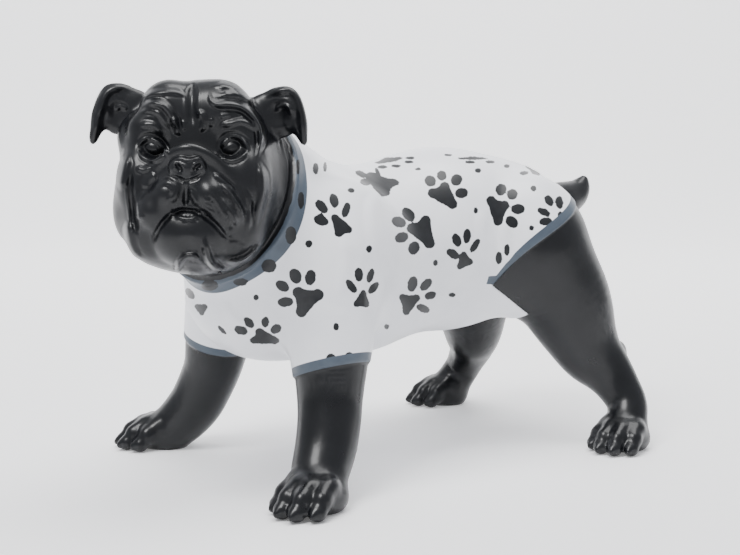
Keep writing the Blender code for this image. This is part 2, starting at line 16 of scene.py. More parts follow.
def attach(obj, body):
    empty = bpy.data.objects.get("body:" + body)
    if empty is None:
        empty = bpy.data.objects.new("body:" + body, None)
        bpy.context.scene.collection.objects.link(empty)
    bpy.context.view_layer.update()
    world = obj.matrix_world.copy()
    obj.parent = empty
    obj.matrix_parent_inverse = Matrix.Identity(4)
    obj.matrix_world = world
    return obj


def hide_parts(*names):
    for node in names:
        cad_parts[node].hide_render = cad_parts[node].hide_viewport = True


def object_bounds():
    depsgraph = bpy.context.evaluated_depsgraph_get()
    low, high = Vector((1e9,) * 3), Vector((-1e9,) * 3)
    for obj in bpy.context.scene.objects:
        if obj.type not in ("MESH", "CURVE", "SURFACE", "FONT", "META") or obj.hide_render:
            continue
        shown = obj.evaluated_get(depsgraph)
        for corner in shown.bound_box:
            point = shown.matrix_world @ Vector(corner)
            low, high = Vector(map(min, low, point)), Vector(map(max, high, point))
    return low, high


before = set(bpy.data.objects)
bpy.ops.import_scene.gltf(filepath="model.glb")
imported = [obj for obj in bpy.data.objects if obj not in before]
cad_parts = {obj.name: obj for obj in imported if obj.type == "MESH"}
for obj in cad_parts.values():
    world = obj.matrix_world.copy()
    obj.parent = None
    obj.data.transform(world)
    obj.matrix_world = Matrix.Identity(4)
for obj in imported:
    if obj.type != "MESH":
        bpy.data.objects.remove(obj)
cad_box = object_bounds()

UNIT = 0.001
VOXELS = (5.2, 2.6)  # the mesh is made coarse, then fine
SETTLE_ROUNDS = 2
PLAIN_FACETS = 24000  # the triangles left in each region
PAW_FACETS = 16000
NAPE_FACETS = 20000
PAW_TOP = 60.0
NAPE_REACH = 130.0  # from the middle of the head
MARK_MARGIN = 3.0  # round marks and the shirt's edges the mesh stays fine
FACE_REACH = 92.0  # how far from the middle of the head the face's own share is laid
FACE_SHARES = (1.25, 1.0, 1.1)
FACE_DEPTH = 6.0
HEAD_REACH = 118.0

COLLAR_WIDTH = 16.0
TRIM_WIDTH = 9.5
SHIRT_THICKNESS = 2.2
COLLAR_FLARE = 3.0
COLLAR_CURL = 10.0
GROOVE_DEPTH = 1.6
GROOVE_WIDTH = 3.5
EDGE_SOFTNESS = 2.4


def smooth_min(a, b, blend):
    """Union of two distances that fills the crease between them over the blend length."""
    overlap = np.maximum(blend - np.abs(a - b), 0.0) / blend
    return np.minimum(a, b) - overlap * overlap * blend / 4.0


def smooth_step(x):
    x = np.clip(x, 0.0, 1.0)
    return x * x * (3.0 - 2.0 * x)


def curved(path, steps):
    """The path resampled along a smooth curve through all its points."""
    padded = np.vstack([2 * path[0] - path[1], path, 2 * path[-1] - path[-2]])
    made = []
    for a, b, c, d in zip(padded[:-3], padded[1:-2], padded[2:-1], padded[3:]):
        for t in np.arange(steps) / steps:
            pull = (c - a) * t
            bend = (2 * a - 5 * b + 4 * c - d) * t**2
            swing = (3 * b - a - 3 * c + d) * t**3
            made.append(0.5 * (2 * b + pull + bend + swing))
    made.append(path[-1])
    return np.array(made)


class Ball:
    """An ellipsoid: centre, half sizes, turn in degrees about X, Y and Z, and how softly it joins."""

    def __init__(self, centre, half, turn=(0, 0, 0), blend=20.0):
        self.centre = np.array(centre, float)
        self.half = np.array(half, float)
        self.turn = np.array(Euler([math.radians(a) for a in turn]).to_matrix())
        self.blend = blend

    def move(self, turn, place):
        self.centre = turn @ self.centre + place
        self.turn = turn @ self.turn

    def distance(self, points):
        scaled = ((points - self.centre) @ self.turn) / self.half
        reach = np.linalg.norm(scaled, axis=1)
        slope = np.linalg.norm(scaled / self.half, axis=1)
        return reach * (reach - 1.0) / np.maximum(slope, 1e-6)

    def bounds(self):
        reach = np.sqrt(((self.turn * self.half) ** 2).sum(axis=1))
        return self.centre - reach, self.centre + reach

    def rough(self):
        turn = Matrix(self.turn.tolist()).to_4x4()
        return [Matrix.Translation(self.centre) @ turn @ Matrix.Diagonal((*self.half, 1.0))]


class Limb:
    """A round limb along a smooth path: its points, its radius at each, and how softly it joins."""

    STEPS = 7
    BALL_SPACING = 0.4  # of the radius

    def __init__(self, points, radii, blend=20.0):
        path = np.array([(*point, radius) for point, radius in zip(points, radii)], float)
        self.path = curved(path, self.STEPS)
        self.blend = blend

    def move(self, turn, place):
        self.path[:, :3] = self.path[:, :3] @ turn.T + place

    def distance(self, points):
        best = np.full(len(points), 1e9)
        for start, end in zip(self.path[:-1], self.path[1:]):
            along = end[:3] - start[:3]
            share = np.clip((points - start[:3]) @ along / (along @ along), 0.0, 1.0)
            gap = np.linalg.norm(points - start[:3] - share[:, None] * along, axis=1)
            best = np.minimum(best, gap - start[3] - share * (end[3] - start[3]))
        return best

    def bounds(self):
        places, radii = self.path[:, :3], self.path[:, 3:]
        return (places - radii).min(axis=0), (places + radii).max(axis=0)

    def rough(self):
        kept = [self.path[0]]
        for place in self.path[1:]:
            if np.linalg.norm(place[:3] - kept[-1][:3]) > self.BALL_SPACING * place[3]:
                kept.append(place)
        kept.append(self.path[-1])
        return [Matrix.Translation(place[:3]) @ Matrix.Scale(place[3], 4) for place in kept]


class Stroke:
    """A fold, or with a negative height a furrow, along a smooth path in the layout of the face."""

    STEPS = 3
    REACH = 1.7  # the crease beside a fold ends this many half widths out
    FADE = 0.25  # the share of its length over which each end dies away

    def __init__(self, points, width, height):
        self.path = curved(np.array(points, float), self.STEPS)
        self.width = width
        self.height = height
        lengths = np.linalg.norm(np.diff(self.path, axis=0), axis=1)
        self.marks = np.concatenate([[0.0], np.cumsum(lengths)]) / lengths.sum()

    def lift(self, points):
        best = np.full(len(points), 1e9)
        place = np.zeros(len(points))
        for number, (start, end) in enumerate(zip(self.path[:-1], self.path[1:])):
            along = end - start
            share = np.clip((points - start) @ along / (along @ along), 0.0, 1.0)
            gap = np.linalg.norm(points - start - share[:, None] * along, axis=1)
            nearer = gap < best
            best = np.where(nearer, gap, best)
            mark = self.marks[number] + share * (self.marks[number + 1] - self.marks[number])
            place = np.where(nearer, mark, place)
        taper = smooth_step(np.minimum(place, 1.0 - place) / self.FADE)
        width = self.REACH * self.width * (0.45 + 0.55 * taper)
        across = np.clip((best / width) ** 2, 0.0, 1.0)
        return self.height * taper * (1.0 - across) ** 2 * (1.0 - self.REACH**2 * across)

    def bounds(self):
        reach = self.REACH * self.width
        return self.path.min(axis=0) - reach, self.path.max(axis=0) + reach


class Dent:
    """A round hollow, or with a negative depth a swelling."""

    def __init__(self, centre, radius, depth):
        self.centre = np.array(centre, float)
        self.radius = radius
        self.depth = depth

    def lift(self, points):
        gap = np.linalg.norm(points - self.centre, axis=1) / self.radius
        return -self.depth * np.clip(1.0 - gap**2, 0.0, None) ** 2

    def bounds(self):
        return self.centre - self.radius, self.centre + self.radius


def both_sides(make):
    """What make(side) gives for the left, +1, and for the right, -1."""
    return [item for side in (1, -1) for item in make(side)]


# Body

FRONT_STEP = {1: (0.0, 0.0), -1: (18.0, 8.0)}  # how far out and back each front paw is set, left and right


def torso():
    return [
        Ball((0, -35, 229), (112, 140, 105)),
        Ball((0, 112, 247), (99, 165, 108), blend=30),
        Ball((0, 220, 258), (86, 83, 73), turn=(-14, 0, 0), blend=30),
        Ball((0, -130, 208), (94, 86, 80), blend=30),
        Ball((0, 212, 188), (22, 36, 18), turn=(14, 0, 0), blend=12),
    ]


def front_leg(s):
    out, back = FRONT_STEP[s]
    path = [
        (s * 88, -112, 240), (s * (103 + 0.1 * out), -119, 178), (s * (111 + 0.25 * out), -124, 138),
        (s * (117 + 0.4 * out), -129 + 0.3 * back, 104), (s * (124 + 0.55 * out), -135 + 0.5 * back, 80),
        (s * (131 + 0.75 * out), -144 + 0.7 * back, 56), (s * (140 + 0.9 * out), -157 + 0.9 * back, 36),
        (s * (149 + out), -169 + back, 23),
    ]
    return [
        Ball((s * 86, -100, 240), (50, 76, 86), turn=(0, s * 8, 0), blend=30),
        Limb(path, [56, 46, 39, 34.5, 33, 32, 30, 27], blend=24),
        Ball((s * (133 + 0.8 * out), -116 + 0.8 * back, 50), (9, 8, 10), blend=5),
    ]


def hind_leg(s):
    path = [
        (s * 76, 206, 235), (s * 87, 239, 176), (s * 99, 257, 130), (s * 108, 266, 108), (s * 119, 275, 93),
        (s * 129, 281, 80), (s * 140, 284, 66), (s * 150, 285, 52), (s * 157, 280, 38), (s * 162, 268, 22),
    ]
    return [
        Ball((s * 70, 192, 238), (54, 76, 82), turn=(-10, s * 6, 0), blend=24),
        Limb(path, [60, 56, 44, 38, 32.5, 28.5, 25.5, 24, 24, 24], blend=22),
        Ball((s * 117, 302, 103), (12, 13, 17), turn=(-20, 0, 0), blend=10),
    ]


TOES = ((-26, -16), (-9.5, -30), (9.5, -30), (26, -16))  # how far across and ahead each toe is
TOE_SPLAY = 0.6  # degrees a toe turns out for each millimetre across


def paw(place, turn, size):
    """Four arched toes, their nails, and the pad behind them."""
    c, s = math.cos(math.radians(turn)), math.sin(math.radians(turn))

    def at(x, y, z):
        x, y = x * size, y * size
        return (place[0] + c * x - s * y, place[1] + s * x + c * y, z * size)

    def ball(x, y, z, half, blend, pitch=0.0, swing=0.0):
        half = [h * size for h in half]
        return Ball(at(x, y, z), half, turn=(pitch, 0, turn + swing), blend=blend)

    made = [
        ball(0, 4, 17, (32, 36, 22), 14),
        ball(0, 16, 11, (27, 22, 14), 10),
    ]
    for across, ahead in TOES:
        swing = across * TOE_SPLAY
        made += [
            ball(across * 0.86, ahead + 14, 31, (10.5, 14, 11), 8, 12, swing),
            ball(across, ahead - 2, 20, (11, 12, 14), 6, -20, swing),
            ball(across * 1.04, ahead - 12, 10, (10.5, 10, 10), 4, 0, swing),
            ball(across * 1.06, ahead - 19, 9, (4.5, 7, 5), 2.5, 30, swing),
        ]
    return made


def front_paw(s):
    out, back = FRONT_STEP[s]
    return paw((s * (162 + out), -181 + back), s * 17, 0.91)


def hind_paw(s):
    return paw((s * 168, 260), s * 15, 0.88)


def tail():
    path = [(0, 286, 276), (0, 314, 284), (0, 330, 289), (1, 343, 294), (2, 352, 302), (3, 357, 311)]
    return [Limb(path, [30, 26, 22, 18, 13, 7], blend=12)]


def neck():
    path = [(2, -84, 254), (14, -140, 281), (29, -198, 309), (42, -224, 322)]
    return [Limb(path, [85, 89, 89, 76], blend=28)]


# Head, in a frame of its own: x to the dog's left, y to the back, z up

HEAD_PLACE = np.array((51.0, -242.0, 334.0))
HEAD_YAW = 53.0
LAYOUT_EYE = np.array((170.0, -1347.0, 46.0))  # where the layout of the face is seen from
LAYOUT_PLANE = -65.0  # the layout's y


def head_masses():
    made = [
        Ball((2, 14, 36), (66, 70, 56), blend=20),
        Ball((6, -18, 61.5), (34, 34, 31), blend=12),
        Ball((-57, -8, 36), (23, 30, 26), blend=12),
        Ball((-62.5, -20, -40), (20, 28, 30), blend=10),
        Ball((-38, -24, -64), (22, 28, 20), blend=8),
        Ball((0, -56, -6), (38, 34, 28), blend=14),
        Ball((0, -60, -55), (40, 35, 31), blend=18),
        Ball((0, -30, -66), (52, 48, 24), blend=16),
        Ball((0, -14, -78), (52, 48, 22), blend=10),
        Ball((-1, -82, 8), (14, 10, 11), blend=5),
    ]

    def sides(s):
        return [
            Ball((s * 25, -22, 60), (31, 34, 33), blend=8),
            Ball((s * 42, -36, 44), (23, 20, 20), blend=8),
            Ball((s * 50, -26, -12), (29, 48, 50), blend=14),
            Ball((s * 9 - 1, -83, 8), (8.5, 8, 9), blend=3),
            Ball((s * 19, -70, -18), (19, 24, 19), blend=6),
            Ball((s * 34, -58, -34), (22, 34, 24), blend=8),
            Ball((s * 45, -34, -52), (25, 42, 32), blend=8),
            Ball((s * 34, -30, -70), (24, 36, 18), blend=8),
        ]

    roll = [
        (-50, -48, -40), (-47, -56, -22), (-39, -64, -4), (-28, -72, 11), (-14, -79, 22), (0, -82, 26),
        (14, -79, 22), (28, -72, 11), (39, -64, -4), (47, -56, -22), (50, -48, -40),
    ]
    made.append(Limb(roll, [3, 4.5, 6, 6, 5.5, 5.5, 5.5, 6, 6, 4.5, 3], blend=8))
    return made + both_sides(sides) + both_sides(ear)


EAR_RISE = {1: 0.0, -1: 4.0}  # how much higher each ear is set, left and right


def ear(s):
    """A folded ear: a leaf that stands out from the skull, with its tip hanging down."""
    rise = EAR_RISE[s]
    return [
        Ball((s * 64, 8, 60 + rise), (17, 10, 20), blend=8),
        Ball((s * 77, 5, 66 + rise), (16, 7, 20), turn=(0, 0, s * -8), blend=6),
        Ball((s * 80, 4, 52 + rise), (18, 7, 17), turn=(0, 0, s * -8), blend=6),
        Ball((s * 89, 2, 67 + rise), (13, 6.5, 19), turn=(0, s * -8, s * -8), blend=6),
        Ball((s * 97, -1, 56 + rise), (10, 6, 19), turn=(0, s * -18, s * -8), blend=6),
        Ball((s * 103, -3, 41 + 0.5 * rise), (5.5, 5, 14), turn=(0, s * -16, 0), blend=5),
    ]


def eyes():
    return both_sides(lambda s: [Ball((s * 38, -46, 26.5), (12, 10, 9.5), turn=(0, 0, s * 20), blend=1.2)])


def face_dents():
    made = both_sides(
        lambda s: [
            Dent((s * 38, -56, 28), 17, 6.0),
            Dent((s * 80, -6, 60), 16, 4.0),
            Dent((s * 94, -9, 54), 11, 2.5),
            Dent((s * 8 - 1, -91, 5), 5.0, 3.0),
        ]
    )
    return made + [Dent((0, -92, -66), 12, 3.0)]


# The face's layout: each fold's half width, its height and its points across and up

FACE_FOLDS = [
    (5.2, -2.6, ((4, 90), (2, 74), (2, 60), (3, 46))),
    (5, 4.4, ((-46, 65), (-36, 69), (-26, 67), (-20, 61), (-16, 52), (-11, 42))),
    (3.6, 2.8, ((-51, 27), (-46, 33), (-38, 36), (-30, 32), (-24, 24), (-21, 17))),
    (3.4, 2, ((-51, 24), (-45, 18), (-37, 15), (-30, 17), (-24, 23))),
    (4.4, 2.8, ((-16, 58), (-14, 48), (-10, 37))),
    (4.6, 2.6, ((8, 64), (13, 53), (10, 40))),
    (
        4.6,
        4.4,
        ((19, 81), (20, 72), (27, 68), (38, 68), (49, 66), (59, 59), (66, 48), (68, 36), (65, 23), (62, 16)),
    ),
    (3.6, 2.8, ((26, 23), (31, 32), (38, 37), (46, 36), (52, 31), (57, 22))),
    (3.4, 2, ((27, 22), (33, 17), (40, 15), (48, 18), (55, 25))),
    (3, -3.4, ((-15, 12), (-11, 8), (-8, 4))),
    (3, -3.4, ((11, 11), (6, 9), (2, 5))),
    (3.6, -1.9, ((-4, -3), (-5, -16), (-6, -30))),
    (3.2, 2.6, ((26, -5), (37, -16), (44, -26), (49, -37), (50, -46))),
    (3.4, -1.9, ((-17, -34), (-23, -40), (-29, -47), (-34, -55), (-38, -66))),
    (2.8, -2.2, ((-22, -38), (-14, -34), (-6, -33), (3, -34), (12, -38))),
    (3.4, -1.9, ((8, -36), (14, -40), (21, -45), (28, -53), (36, -62))),
    (3.8, 4, ((-15, -94), (-12, -83), (-5, -77), (3, -78), (9, -84))),
    (4.4, 4.4, ((11, -58), (14, -72), (18, -83), (26, -90), (36, -91))),
    (4, 3.8, ((31, -82), (45, -82), (57, -75), (67, -64))),
    (5.2, 3, ((-59, 22), (-63, 8), (-66, -6), (-67, -16))),
    (4, -2.8, ((-56, 8), (-58, -13), (-56, -34), (-54, -48), (-50, -61))),
    (5, 2.6, ((-62, -41), (-60, -60), (-56, -73), (-47, -81))),
    (4.8, 3.4, ((64, 16), (68, 2), (69, -13), (67, -24), (64, -34), (62, -49))),
    (5.2, 2.8, ((70, 74), (81, 80), (94, 82), (102, 76), (106, 64), (108, 47), (108, 31))),
    (5.2, 2.8, ((-55, 79), (-64, 84), (-72, 83), (-79, 79), (-85, 68), (-89, 50), (-93, 33))),
]

FACE_BACK = 10.0  # behind this y the face's folds fade out
FACE_FADE = 30.0
COLLAR_MARGIN = 5.0  # how far ahead of the collar the folds are whole
RING_HEIGHT = 3.4  # the neck's folds, which run round it beside the collar
RING_SPACING = 9.5
RING_SWAY = 0.22
RING_LENGTH = 24.0
RING_START = -4.0  # they begin behind this y and below this z, and fade in
RING_TOP = 52.0
RING_FADE = 22.0
CREASE = 0.05  # how round the bottom of a crease is
RING_LEVEL = 0.6  # where the unfolded skin lies between the bottom and the top of a fold


def laid_out(points):
    """Points of the head's frame as the layout of the face shows them, across and up."""
    sight = points - LAYOUT_EYE
    reach = (LAYOUT_PLANE - LAYOUT_EYE[1]) / sight[:, 1]
    return (LAYOUT_EYE + reach[:, None] * sight)[:, [0, 2]]


# Shirt

COLLAR_CENTRE = np.array((31.0, -196.0, 312.0))
COLLAR_AXIS = np.array((0.235, -0.90, 0.38)) / np.linalg.norm((0.235, -0.90, 0.38))
SLEEVE_HEIGHT = 128.0
SLEEVE_SLOPE = 0.35
SLEEVE_OUT = 110.0
HEM_TIP = np.array((118.0, 199.0))  # y and z of the hem's foremost point, low on each flank
HEM_RISE = 41.8
HEM_BEND = 28.0
HEM_SLOPE = 0.41
HEM_SHARE = 0.8  # of a height above the slanting hem, how far that is from it
FLANK_SLOPE = 1.5  # how fast the shirt's edge runs back below the hem's tip
FLANK_DEPTH = 38.0  # how far below the tip it goes on running back
BELLY_WIDTH = 60.0
BELLY_NARROWING = 0.3  # how much the shirt's belly narrows to the back between the thighs
BELLY_BOTTOM = 130.0
BELLY_BACK = 252.0


def hem_height(y):
    """The height of the hem's edge on the flank, which sweeps up to the back."""
    behind = np.clip(y - HEM_TIP[0], 0.0, None)
    return HEM_TIP[1] + HEM_RISE * (1.0 - np.exp(-behind / HEM_BEND)) + HEM_SLOPE * behind


def shirt_parts(points):
    """How far each point lies inside the collar, the sleeve ends, the hem and the whole shirt."""
    x, y, z = points.T
    collar = (COLLAR_CENTRE - points) @ COLLAR_AXIS
    sleeve = (z - SLEEVE_HEIGHT - SLEEVE_SLOPE * (np.abs(x) - SLEEVE_OUT)) / math.hypot(1.0, SLEEVE_SLOPE)
    sleeve = np.where((np.abs(x) > 60.0) & (y < 0.0), sleeve, 1e3)
    hem = HEM_SHARE * (z - hem_height(y))
    low = np.clip(HEM_TIP[1] - z, 0.0, FLANK_DEPTH)
    flank = HEM_TIP[0] - y + FLANK_SLOPE * low
    width = BELLY_WIDTH - BELLY_NARROWING * np.clip(y - HEM_TIP[0], 0.0, None)
    across = np.minimum(width - np.abs(x), BELLY_BACK - y)
    belly = np.minimum(across, np.minimum(HEM_TIP[1] - z, z - BELLY_BOTTOM))
    whole = np.minimum(np.minimum(collar, sleeve), np.maximum(np.maximum(hem, flank), belly))
    hem = np.where(low > 0.0, 1e3, np.maximum(hem, flank))
    return collar, sleeve, hem, whole


class Figure:
    """The statue's skin as one distance, with its relief."""

    def __init__(self, face_folds):
        self.turn = np.array(Euler((0.0, 0.0, math.radians(HEAD_YAW))).to_matrix())
        self.face_folds = [Stroke(places, width, height) for width, height, places in face_folds]
        self.dents = face_dents()
        for dent in self.dents:
            dent.centre = self.turn @ dent.centre + HEAD_PLACE
        head = head_masses()
        self.eyes = eyes()
        for mass in head + self.eyes:
            mass.move(self.turn, HEAD_PLACE)
        self.masses = (
            torso()
            + both_sides(front_leg)
            + both_sides(hind_leg)
            + both_sides(front_paw)
            + both_sides(hind_paw)
            + tail()
            + neck()
            + head
        )

    def union(self, masses, points, skin=None):
        skin = np.full(len(points), 400.0) if skin is None else skin
        for mass in masses:
            near = inside(mass.bounds(), points, 1.8 * mass.blend + 14.0)
            if len(near):
                skin[near] = smooth_min(skin[near], mass.distance(points[near]), mass.blend)
        return skin

    def folds(self, points, ahead):
        """How far the folds of the face and neck raise the skin, from how far ahead of the collar it is."""
        local = (points - HEAD_PLACE) @ self.turn
        layout = laid_out(local)
        bare = smooth_step(ahead / COLLAR_MARGIN)
        face = bare * (1.0 - smooth_step((local[:, 1] - FACE_BACK) / FACE_FADE))
        raised = np.zeros(len(points))
        for stroke in self.face_folds:
            near = inside(stroke.bounds(), layout, 0.0)
            if len(near):
                raised[near] += face[near] * stroke.lift(layout[near])
        below = smooth_step((RING_TOP - local[:, 2]) / RING_FADE)
        neck = smooth_step((local[:, 1] - RING_START) / RING_FADE) * below
        wave = ahead / RING_SPACING + RING_SWAY * np.sin(local[:, 2] / RING_LENGTH)
        rings = RING_HEIGHT * (np.sqrt(np.sin(math.pi * wave) ** 2 + CREASE) - RING_LEVEL)
        return raised + bare * neck * rings

    def distance(self, points):
        skin = self.union(self.masses, points)
        collar, _, _, shirt = shirt_parts(points)
        for dent in self.dents:
            near = inside(dent.bounds(), points, 0.0)
            if len(near):
                skin[near] -= dent.lift(points[near])
        skin = self.union(self.eyes, points, skin)
        near = inside((HEAD_PLACE - HEAD_REACH, HEAD_PLACE + HEAD_REACH), points, 0.0)
        if len(near):
            skin[near] -= self.folds(points[near], -collar[near])
        layer = SHIRT_THICKNESS + COLLAR_FLARE * np.exp(-np.clip(collar, 0.0, None) / COLLAR_CURL)
        skin -= layer * smooth_step(0.5 + shirt / (2.0 * EDGE_SOFTNESS))
        return skin + GROOVE_DEPTH * np.exp(-(((collar + GROOVE_WIDTH) / GROOVE_WIDTH) ** 2))


def inside(bounds, points, margin):
    low, high = bounds
    return np.nonzero(np.all((points > low - margin) & (points < high + margin), axis=1))[0]


def rough_mesh(figure):
    """All the masses as plain balls, not yet joined."""
    ball = bmesh.new()
    bmesh.ops.create_icosphere(ball, subdivisions=3, radius=1.0)
    mesh = bpy.data.meshes.new("rough")
    ball.to_mesh(mesh)
    ball.free()
    cage = bmesh.new()
    for mass in figure.masses:
        for matrix in mass.rough():
            mesh.transform(matrix)
            cage.from_mesh(mesh)
            mesh.transform(matrix.inverted())
    cage.to_mesh(mesh)
    cage.free()
    return mesh


def one_skin(mesh, voxel):
    """The outer surface of the mesh as one closed, even skin."""
    obj = bpy.data.objects.new("rough", mesh)
    bpy.context.scene.collection.objects.link(obj)
    remesh = obj.modifiers.new("one_skin", "REMESH")
    remesh.mode = "VOXEL"
    remesh.voxel_size = voxel
    graph = bpy.context.evaluated_depsgraph_get()
    made = bpy.data.meshes.new_from_object(obj.evaluated_get(graph))
    bpy.data.objects.remove(obj)
    return made


def places_of(mesh):
    places = np.empty(len(mesh.vertices) * 3, np.float32)
    mesh.vertices.foreach_get("co", places)
    return places.reshape(-1, 3).astype(float)


def put_places(mesh, places):
    mesh.vertices.foreach_set("co", places.astype(np.float32).ravel())
    mesh.update()


def normals_of(mesh):
    normals = np.empty(len(mesh.vertices) * 3, np.float32)
    mesh.vertex_normals.foreach_get("vector", normals)
    return normals.reshape(-1, 3).astype(float)


def neighbour_average(mesh):
    """A function that gives the average, over each corner's neighbours, of a value per corner."""
    ends = np.empty(len(mesh.edges) * 2, np.int32)
    mesh.edges.foreach_get("vertices", ends)
    ends = ends.reshape(-1, 2)
    size = len(mesh.vertices)
    count = np.bincount(ends.ravel(), minlength=size)

    def average(values):
        total = [
            np.bincount(ends[:, 0], column[ends[:, 1]], size)
            + np.bincount(ends[:, 1], column[ends[:, 0]], size)
            for column in values.T
        ]
        return np.stack(total, axis=1) / count[:, None]

    return average


def settle(mesh, figure):
    """Evens out the mesh and draws it onto the blended skin."""
    average = neighbour_average(mesh)
    for _ in range(SETTLE_ROUNDS):
        places = places_of(mesh)
        put_places(mesh, 0.5 * (places + average(places)))
        for _ in range(2):
            places = places_of(mesh)
            step = np.clip(figure.distance(places), -4.0, 4.0)
            put_places(mesh, places - normals_of(mesh) * step[:, None])


# The small folds of the face, in its layout: half width, height and points across and up

FINE_FOLDS = [
    (3.8, 1.8, ((-46, 74), (-35, 78), (-22, 80), (-11, 79), (-3, 74))),
    (3.8, 2, ((-48, 60), (-38, 63), (-29, 59), (-23, 51), (-18, 43))),
    (3.8, 1.8, ((-50, 48), (-39, 49), (-32, 46), (-27, 38))),
    (3.6, 1.4, ((-53, 9), (-46, 6), (-38, 8))),
    (3.4, 1.4, ((-7, 54), (-6, 42))),
    (3.2, 1.2, ((20, 56), (20, 46))),
    (4, 2, ((27, 76), (39, 78), (50, 74), (62, 64))),
    (3.8, 1.6, ((20, 85), (35, 85), (49, 78), (63, 69))),
    (3.8, 2, ((28, 43), (31, 48), (39, 50), (49, 52), (59, 48), (65, 40))),
    (3.6, 1.4, ((27, 56), (40, 59))),
    (2.8, 1.4, ((-18, 15), (-10, 17), (-2, 15), (7, 17), (13, 14))),
    (2.8, -1.8, ((-18, 3), (-12, -2), (-5, -5), (5, -2), (11, 4))),
    (4.8, 2.2, ((-31, -9), (-22, -6), (-15, -12), (-17, -20), (-26, -26))),
    (3.6, 1.8, ((-2, -12), (2, -20), (6, -30))),
    (3, 1.2, ((12, -22), (23, -28))),
    (3, 1.2, ((6, -29), (14, -32), (23, -38))),
    (3.4, 1.8, ((20, 4), (30, -4), (38, -11), (43, -19))),
    (3.4, 1.8, ((25, -18), (33, -28), (41, -41), (45, -50))),
    (3, 1.4, ((16, -14), (25, -25), (34, -40), (38, -52))),
    (2.6, 1.6, ((-18, -38), (-11, -40), (-4, -41), (3, -40), (9, -37))),
    (3.4, -1.4, ((33, -60), (43, -61), (53, -66))),
    (3, 1.2, ((-56, -42), (-50, -40), (-44, -41))),
    (5, 2, ((-47, -13), (-40, -3), (-32, 3))),
    (3.4, 1.6, ((51, -11), (56, -27), (56, -41), (53, -55))),
    (3, 1.8, ((80, 60), (87, 66), (94, 65), (96, 57))),
    (3, 1.8, ((-72, 62), (-66, 66), (-59, 62))),
]


def thinned(mesh, chosen, facets):
    """The same skin with the chosen corners' part of it cut down to so many triangles."""
    obj = bpy.data.objects.new("fine", mesh)
    bpy.context.scene.collection.objects.link(obj)
    obj.vertex_groups.clear()
    obj.vertex_groups.new(name="chosen").add(np.flatnonzero(chosen).tolist(), 1.0, "REPLACE")
    found = sum(len(face.vertices) - 2 for face in mesh.polygons if chosen[list(face.vertices)].all())
    total = sum(len(face.vertices) - 2 for face in mesh.polygons)
    decimate = obj.modifiers.new("fewer_faces", "DECIMATE")
    decimate.vertex_group = "chosen"
    decimate.vertex_group_factor = 1.0
    decimate.ratio = (total - found + facets) / total
    graph = bpy.context.evaluated_depsgraph_get()
    made = bpy.data.meshes.new_from_object(obj.evaluated_get(graph))
    bpy.data.objects.remove(obj)
    return made


def refined(mesh, chosen):
    """Splits each chosen face in four."""
    body = bmesh.new()
    body.from_mesh(mesh)
    body.verts.ensure_lookup_table()
    faces = [face for face in body.faces if all(chosen[vert.index] for vert in face.verts)]
    edges = list({edge for face in faces for edge in face.edges})
    bmesh.ops.subdivide_edges(body, edges=edges, cuts=1, use_grid_fill=True)
    bmesh.ops.triangulate(body, faces=[face for face in body.faces if len(face.verts) > 4])
    made = bpy.data.meshes.new("refined")
    body.to_mesh(made)
    body.free()
    return made


def on_face(mesh, figure):
    """Which corners lie on the front of the head."""
    places = (places_of(mesh) - HEAD_PLACE) @ figure.turn
    return (np.linalg.norm(places / FACE_SHARES, axis=1) < FACE_REACH) & (places[:, 1] < FACE_DEPTH)


def regions_of(mesh, figure, marks):
    """Each corner's region: face, nape, paws, plain skin, or what lies at a mark or a shirt's edge."""
    places = places_of(mesh)
    collar, sleeve, hem, whole = shirt_parts(places)
    trim = np.abs(np.minimum(sleeve, hem) - TRIM_WIDTH)
    edges = np.minimum(np.minimum(np.abs(collar - COLLAR_WIDTH), trim), np.abs(whole))
    painted = painted_marks(marks, places, normals_of(mesh))
    far = (edges > MARK_MARGIN) & (painted < -MARK_MARGIN)
    regions = np.where(far, "plain", "marked")
    regions[places[:, 2] < PAW_TOP] = "paws"
    regions[np.linalg.norm(places - HEAD_PLACE, axis=1) < NAPE_REACH] = "nape"
    regions[on_face(mesh, figure)] = "face"
    return regions


DRAW_ROUNDS = 2
DRAW_REACH = 3.0  # how far a corner moves in one round at most


def draw_in(mesh, figure):
    """Draws the corners onto the figure's skin."""
    for _ in range(DRAW_ROUNDS):
        places = places_of(mesh)
        step = np.clip(figure.distance(places), -DRAW_REACH, DRAW_REACH)
        put_places(mesh, places - normals_of(mesh) * step[:, None])


PROBE = 0.8  # half the length over which the skin's slope is taken


def slope(figure, places):
    """The skin's own outward direction at each place."""
    steps = []
    for axis in range(3):
        shift = np.zeros(3)
        shift[axis] = PROBE
        steps.append(figure.distance(places + shift) - figure.distance(places - shift))
    steps = np.stack(steps, axis=1)
    return steps / np.maximum(np.linalg.norm(steps, axis=1)[:, None], 1e-9)


SOLE_SNAP = 0.2  # a corner this near to the ground counts as on it in the cut
SOLE_LEVEL = 0.01  # below this a corner belongs to a sole


def cut_soles(mesh):
    """Cuts the paws off flat at the ground and closes each sole."""
    body = bmesh.new()
    body.from_mesh(mesh)
    bmesh.ops.bisect_plane(
        body,
        geom=body.verts[:] + body.edges[:] + body.faces[:],
        dist=SOLE_SNAP,
        plane_co=(0.0, 0.0, 0.0),
        plane_no=(0.0, 0.0, -1.0),
        clear_outer=True,
    )
    for vert in body.verts:
        vert.co.z = max(vert.co.z, 0.0)
    rims = [edge for edge in body.edges if edge.is_boundary]
    bmesh.ops.holes_fill(body, edges=rims, sides=0)
    bmesh.ops.triangulate(body, faces=[face for face in body.faces if len(face.verts) > 4])
    bmesh.ops.recalc_face_normals(body, faces=body.faces[:])
    body.to_mesh(mesh)
    body.free()


# The photo's camera, in the uncentred design frame: degrees, millimetres and pixels

